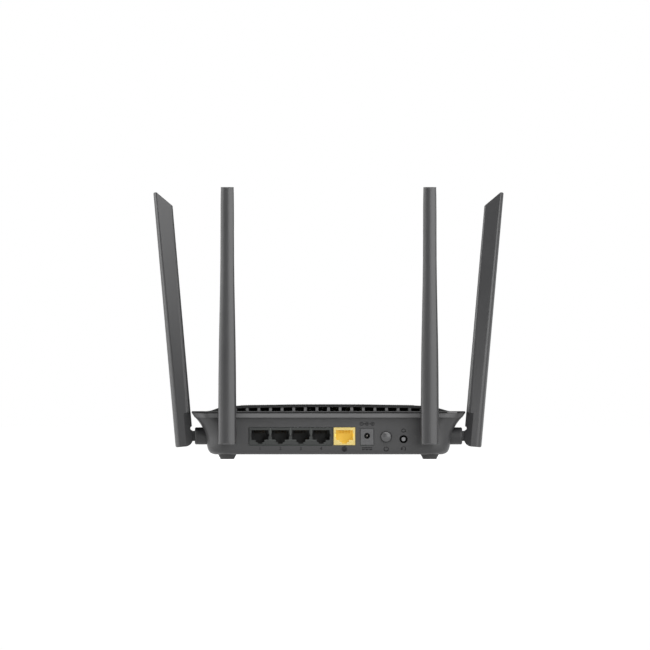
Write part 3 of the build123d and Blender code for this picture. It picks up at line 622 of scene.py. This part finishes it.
def ink_strokes(name: str, strokes: Sequence[Stroke], line_mm: float, finish: Finish) -> bpy.types.Mesh:
    """Draw strokes as flat beads of ink on the XY plane.

    Args:
        name: The mesh's name.
        strokes: The strokes in millimetres.
        line_mm: Width of a line.
        finish: The ink.

    Returns:
        The mesh.
    """
    curve = bpy.data.curves.new(name, "CURVE")
    curve.dimensions = "3D"
    curve.bevel_depth, curve.bevel_resolution, curve.use_fill_caps = line_mm / 2 * MM, 1, True
    for stroke in strokes:
        closed = len(stroke) > 3 and math.dist(stroke[0], stroke[-1]) < 1e-6
        points = stroke[:-1] if closed else stroke
        spline = curve.splines.new("POLY")
        spline.points.add(len(points) - 1)
        for point, (x, y) in zip(spline.points, points):
            point.co = (x * MM, y * MM, 0, 1)
        spline.use_cyclic_u = closed
    return flat_ink(name, curve, finish, BEAD_FLATNESS)


def ink_digit(name: str, digit: int, size_mm: float, finish: Finish) -> bpy.types.Mesh:
    """Draw a digit on the XY plane.

    Args:
        name: The mesh's name.
        digit: Which digit.
        size_mm: Its size.
        finish: The ink.

    Returns:
        The mesh.
    """
    text = bpy.data.curves.new(name, "FONT")
    text.body, text.size, text.extrude = str(digit), size_mm * MM, DIGIT_INK_MM * MM
    text.align_x, text.align_y = "CENTER", "CENTER"
    return flat_ink(name, text, finish, 1.0)


def flat_ink(name: str, data: bpy.types.Curve, finish: Finish, flatten: float) -> bpy.types.Mesh:
    """Turn a curve into a thin mesh of ink.

    Args:
        name: The mesh's name.
        data: The curve or text.
        finish: The ink.
        flatten: What its thickness is scaled to.

    Returns:
        The mesh.
    """
    maker = bpy.data.objects.new(name + "_maker", data)
    bpy.context.scene.collection.objects.link(maker)
    mesh = plain_mesh(maker)
    bpy.data.objects.remove(maker)
    mesh.transform(Matrix.Diagonal((1.0, 1.0, flatten, 1.0)))
    mesh.materials.clear()
    mesh.materials.append(finish.build())
    mesh.name = name
    return mesh


@dataclass
class PanelPrint:
    """The marks on the rear panel: port numbers and generic signs.

    Attributes:
        face_y: The panel's plane, in millimetres.
        row_z: Height of the row of marks under the sockets.
        ports: Where the four numbered ports are, from the first to the last.
        signs: Name, sign, place across, height and line width.
        digit_mm: Size of the port numbers.
    """

    face_y: float = 58.0
    row_z: float = 7.2
    ports: tuple[float, ...] = (46.96, 32.99, 19.02, 5.05)
    signs: tuple[tuple[str, Icon, float, float, float], ...] = (
        ("mark_globe", Icon.GLOBE, -10.9, 7.0, 0.4),
        ("mark_direct_current", Icon.DIRECT_CURRENT, -26.4, 7.2, 0.55),
        ("mark_power", Icon.POWER, -39.5, 7.0, 0.5),
        ("mark_restart", Icon.RESTART, -51.4, 7.2, 0.5),
        ("mark_polarity", Icon.POLARITY, -26.4, 24.2, 0.42),
        ("mark_pairing", Icon.PAIRING, -51.4, 19.6, 0.5),
    )
    digit_mm: float = 3.2

    def build(self) -> None:
        """Print every mark."""
        for number, x in enumerate(self.ports, start=1):
            self.place(ink_digit(f"mark_port_{number}", number, self.digit_mm, PANEL_INK), x, self.row_z)
        for name, icon, x, z, line in self.signs:
            self.place(ink_strokes(name, icon.value, line, PANEL_INK), x, z)

    def place(self, mesh: bpy.types.Mesh, x: float, z: float) -> None:
        """Stand a mark up on the panel, the right way round from behind.

        Args:
            mesh: The mark on the XY plane.
            x: Its place across, in millimetres.
            z: Its height.
        """
        turn = Matrix(((-1, 0, 0, x * MM), (0, 0, 1, self.face_y * MM), (0, 1, 0, z * MM), (0, 0, 0, 1)))
        mesh.transform(turn)
        obj = bpy.data.objects.new(mesh.name, mesh)
        bpy.context.scene.collection.objects.link(obj)
        settle(obj, "case")


@dataclass
class DeckPrint:
    """The signs behind the status windows, printed on the sloping deck.

    Attributes:
        row_y: Where the row is, in millimetres.
        pitch: Distance between signs.
        line: Width of a line.
        icons: The signs from left to right, seen from the front.
    """

    row_y: float = -45.4
    pitch: float = 9.0
    line: float = 0.32
    icons: tuple[Icon, ...] = (Icon.POWER, Icon.GLOBE, Icon.WAVES, Icon.NETWORK, Icon.LINK, Icon.KEY)

    def build(self) -> None:
        """Print the row of signs."""
        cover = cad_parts["top_cover"].data
        deck = BVHTree.FromPolygons([v.co for v in cover.vertices], [p.vertices for p in cover.polygons])
        for number, icon in enumerate(self.icons):
            name = f"deck_sign_{icon.name.lower()}"
            mesh = ink_strokes(name, icon.value, self.line, DECK_INK)
            x = (number - (len(self.icons) - 1) / 2) * self.pitch
            mesh.transform(Matrix.Translation((x * MM, self.row_y * MM, 0)))
            for vertex in mesh.vertices:
                hit = deck.ray_cast(Vector((vertex.co.x, vertex.co.y, DROP_HEIGHT)), Vector((0, 0, -1)))[0]
                vertex.co.z += hit.z
            obj = bpy.data.objects.new(name, mesh)
            bpy.context.scene.collection.objects.link(obj)
            settle(obj, "case")


# ---------------------------------------------------------------- the router's sub-assemblies
@dataclass
class CaseShell:
    """The lower case, the black cover and what belongs to them.

    Attributes:
        finishes: Finish of each node.
        studs: The cover's field of studs.
        signs: The cover's printed signs.
    """

    finishes: dict[str, Finish] = field(default_factory=lambda: {
        "lower_case": CASE_ABS, "top_cover": COVER_ABS, "vent_grille": GRILLE_ABS, "rubber_feet": FOOT_RUBBER,
        "underside_label": FILM, "light_guide": CLEAR, "case_screws": STEEL,
    })
    studs: StudField = field(default_factory=StudField)
    signs: DeckPrint = field(default_factory=DeckPrint)

    def build(self) -> None:
        """Make the cover's fine detail."""
        self.studs.build()
        self.signs.build()

    def dress(self) -> None:
        """Finish the CAD nodes."""
        for name, finish in self.finishes.items():
            dress_node(name, finish)


@dataclass
class RearPanel:
    """The sockets, buttons and marks on the connector side.

    Attributes:
        finishes: Finish of each node.
        strips: The strips on the row of sockets.
        marks: What is printed.
    """

    finishes: dict[str, Finish] = field(default_factory=lambda: {
        "lan_socket_block": BLACK_PBT, "lan_contacts": GOLD, "wan_socket": YELLOW_PBT, "wan_contacts": GOLD,
        "power_jack": JACK_ABS, "power_jack_pin": NICKEL, "power_button": CAP_ABS, "power_switch": BLACK_PBT,
        "power_plunger": BLACK_PBT, "reset_plunger": PLUNGER_ACETAL, "reset_switch": BLACK_PBT,
    })
    strips: tuple[FaceStrips, ...] = (
        FaceStrips("latch_sills", Lie.ACROSS, 13.1 * MM, 7.8 * MM, 0.5 * MM),
        FaceStrips("port_dividers", Lie.UPRIGHT, 18.9 * MM, 5.0 * MM, 0.7 * MM),
    )
    marks: PanelPrint = field(default_factory=PanelPrint)

    def build(self) -> None:
        """Make the strips and the marks."""
        for strip in self.strips:
            strip.build()
        self.marks.build()

    def dress(self) -> None:
        """Finish the CAD nodes."""
        for name, finish in self.finishes.items():
            dress_node(name, finish)


@dataclass
class Antenna:
    """One folding antenna.

    Attributes:
        place: Where it stands, as in its nodes' names.
        finishes: Finish of each of its nodes, by the end of the name.
    """

    place: str
    finishes: dict[str, Finish] = field(default_factory=lambda: {
        "blade": ANTENNA_ABS, "knuckle": KNUCKLE_NYLON, "retaining_ring": SPRING_STEEL, "radiator": LAMINATE,
        "lead": JACKET_PFA,
    })

    def dress(self) -> None:
        """Finish the CAD nodes."""
        for part, finish in self.finishes.items():
            dress_node(f"{self.place}_{part}", finish)


@dataclass
class Electronics:
    """The main board and what is soldered to it.

    Attributes:
        finishes: Finish of each node.
    """

    finishes: dict[str, Finish] = field(default_factory=lambda: {
        "main_board": BOARD, "main_processor": RESIN, "memory_chips": RESIN, "flash_chip": RESIN,
        "radio_chips": RESIN, "isolation_transformers": RESIN, "thermal_pad": SILICONE, "heat_sink": ALUMINIUM,
        "shield_can_left": TIN, "shield_can_right": TIN, "crystals": TIN, "capacitors": SLEEVE_PVC,
        "power_inductors": FERRITE, "status_lamps": LAMP_EPOXY, "coax_sockets": GOLD, "board_screws": STEEL,
    })

    def dress(self) -> None:
        """Finish the CAD nodes."""
        for name, finish in self.finishes.items():
            dress_node(name, finish)


# ---------------------------------------------------------------- studio
@dataclass(frozen=True)
class SoftBox:
    """A rectangular soft light aimed at the router.

    Attributes:
        name: What it is called on set.
        azimuth: Degrees round from the camera's side, positive to the camera's right.
        elevation: Degrees above the table.
        distance: Metres from the router.
        width: Width of the box in metres.
        height: Height of the box in metres.
        power: Watts.
        shaded: Pieces that a flag keeps in the box's shade.
    """

    name: str
    azimuth: float
    elevation: float
    distance: float
    width: float
    height: float
    power: float
    shaded: tuple[str, ...] = ()

    def build(self, target: Vector) -> None:
        """Hang the box and aim it.

        Args:
            target: The point that it faces.
        """
        data = bpy.data.lights.new(self.name, "AREA")
        data.shape = "RECTANGLE"
        data.size, data.size_y, data.energy = self.width, self.height, self.power
        lamp = bpy.data.objects.new(self.name, data)
        bpy.context.scene.collection.objects.link(lamp)
        turn, lift = math.radians(self.azimuth), math.radians(self.elevation)
        away = Vector((-math.sin(turn) * math.cos(lift), math.cos(turn) * math.cos(lift), math.sin(lift)))
        lamp.location = target + away * self.distance
        lamp.rotation_euler = away.to_track_quat("Z", "Y").to_euler()
        lamp.visible_camera = False
        if self.shaded:
            self.flag(lamp)

    def flag(self, lamp: bpy.types.Object) -> None:
        """Keep the box off the shaded pieces, whose gloss would mirror it as a white sheet.

        Args:
            lamp: The box's light.
        """
        behind = bpy.data.collections.new(f"{self.name}_flag")
        for name in self.shaded:
            behind.objects.link(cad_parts.get(name) or bpy.data.objects[name])
        for entry in behind.collection_objects:
            entry.light_linking.link_state = "EXCLUDE"
        lamp.light_linking.receiver_collection = behind


SOFT_BOXES = (
    SoftBox("key_right", 40.0, 14.0, 1.3, 1.55, 1.1, 22.0),
    SoftBox("side_left", -84.0, 14.0, 1.3, 1.9, 1.1, 27.0, shaded=("top_cover", "deck_studs")),
    SoftBox("top_rear", 12.0, 60.0, 1.3, 1.3, 0.6, 19.0),
)


@dataclass
class Studio:
    """A lit acrylic table, soft lights and the camera.

    Attributes:
        distance: Camera to the rear panel, in metres.
        width: Width of the view at the rear panel, in metres.
        camera_height: Height of the camera over the table, in metres.
        aim: The point at the middle of the view.
        floor_half: Half the floor's width, in metres.
        floor_glow: Strength of the light from below the floor.
        room_light: Strength of the room's even light.
        sensor: Width of the camera's sensor, in millimetres.
    """

    distance: float = 8.0
    width: float = 0.4452
    camera_height: float = 0.034
    aim: Vector = field(default_factory=lambda: Vector((0.0024, 0.058, 0.0919)))
    floor_half: float = 14.0
    floor_glow: float = 0.96
    room_light: float = 0.14
    sensor: float = 36.0

    def build(self) -> None:
        """Make the floor, the lights and the camera."""
        self.floor()
        self.surroundings()
        for box in SOFT_BOXES:
            box.build(self.aim)
        self.camera()

    def floor(self) -> None:
        """Lay a wide pale table top that glows softly from below."""
        mesh = bpy.data.meshes.new("studio_floor")
        half = self.floor_half
        corners = [(-half, -half, 0), (half, -half, 0), (half, half, 0), (-half, half, 0)]
        mesh.from_pydata(corners, [], [(0, 1, 2, 3)])
        floor = bpy.data.objects.new("studio_floor", mesh)
        bpy.context.scene.collection.objects.link(floor)
        acrylic = bpy.data.materials.new("acrylic_opal_lit")
        acrylic.use_nodes = True
        shader = acrylic.node_tree.nodes["Principled BSDF"]
        shader.inputs["Base Color"].default_value = linear("#959595")
        shader.inputs["Roughness"].default_value = 0.9
        shader.inputs["Emission Color"].default_value = (1, 1, 1, 1)
        shader.inputs["Emission Strength"].default_value = self.floor_glow
        mesh.materials.append(acrylic)

    def surroundings(self) -> None:
        """Show a white room behind the router, and light it with a dim even one."""
        world = bpy.data.worlds.new("studio_world")
        bpy.context.scene.world = world
        world.use_nodes = True
        tree = world.node_tree
        tree.nodes.clear()
        seen = add_node(tree, "ShaderNodeLightPath")
        white = add_node(tree, "ShaderNodeBackground", Color=(1, 1, 1, 1), Strength=1.0)
        dim = add_node(tree, "ShaderNodeBackground", Color=(1, 1, 1, 1), Strength=self.room_light)
        both = add_node(tree, "ShaderNodeMixShader", i0=(seen, "Is Camera Ray"), i1=(dim, 0), i2=(white, 0))
        add_node(tree, "ShaderNodeOutputWorld", Surface=(both, 0))

    def camera(self) -> None:
        """Stand the camera behind the router, low down, with a long lens."""
        data = bpy.data.cameras.new("camera")
        camera = bpy.data.objects.new("camera", data)
        bpy.context.scene.collection.objects.link(camera)
        camera.location = (self.aim.x, self.aim.y + self.distance, self.camera_height)
        camera.rotation_euler = (camera.location - self.aim).to_track_quat("Z", "Y").to_euler()
        data.sensor_width = self.sensor
        data.lens = data.sensor_width * self.distance / self.width
        data.clip_start, data.clip_end = 0.05, 50.0
        bpy.context.scene.camera = camera


def main() -> None:
    """Build everything in order: the router first, so that the lights' flags find its pieces."""
    logging.basicConfig(level=logging.INFO, format="%(name)s: %(message)s")
    case, panel = CaseShell(), RearPanel()
    case.dress()
    case.build()
    panel.dress()
    panel.build()
    for place in ("rear_left", "rear_right", "side_left", "side_right"):
        Antenna(place).dress()
    Electronics().dress()
    Studio().build()
    log.info("built the studio")
    bpy.context.scene.view_settings.view_transform = "Standard"


if __name__ == "__main__":
    main()
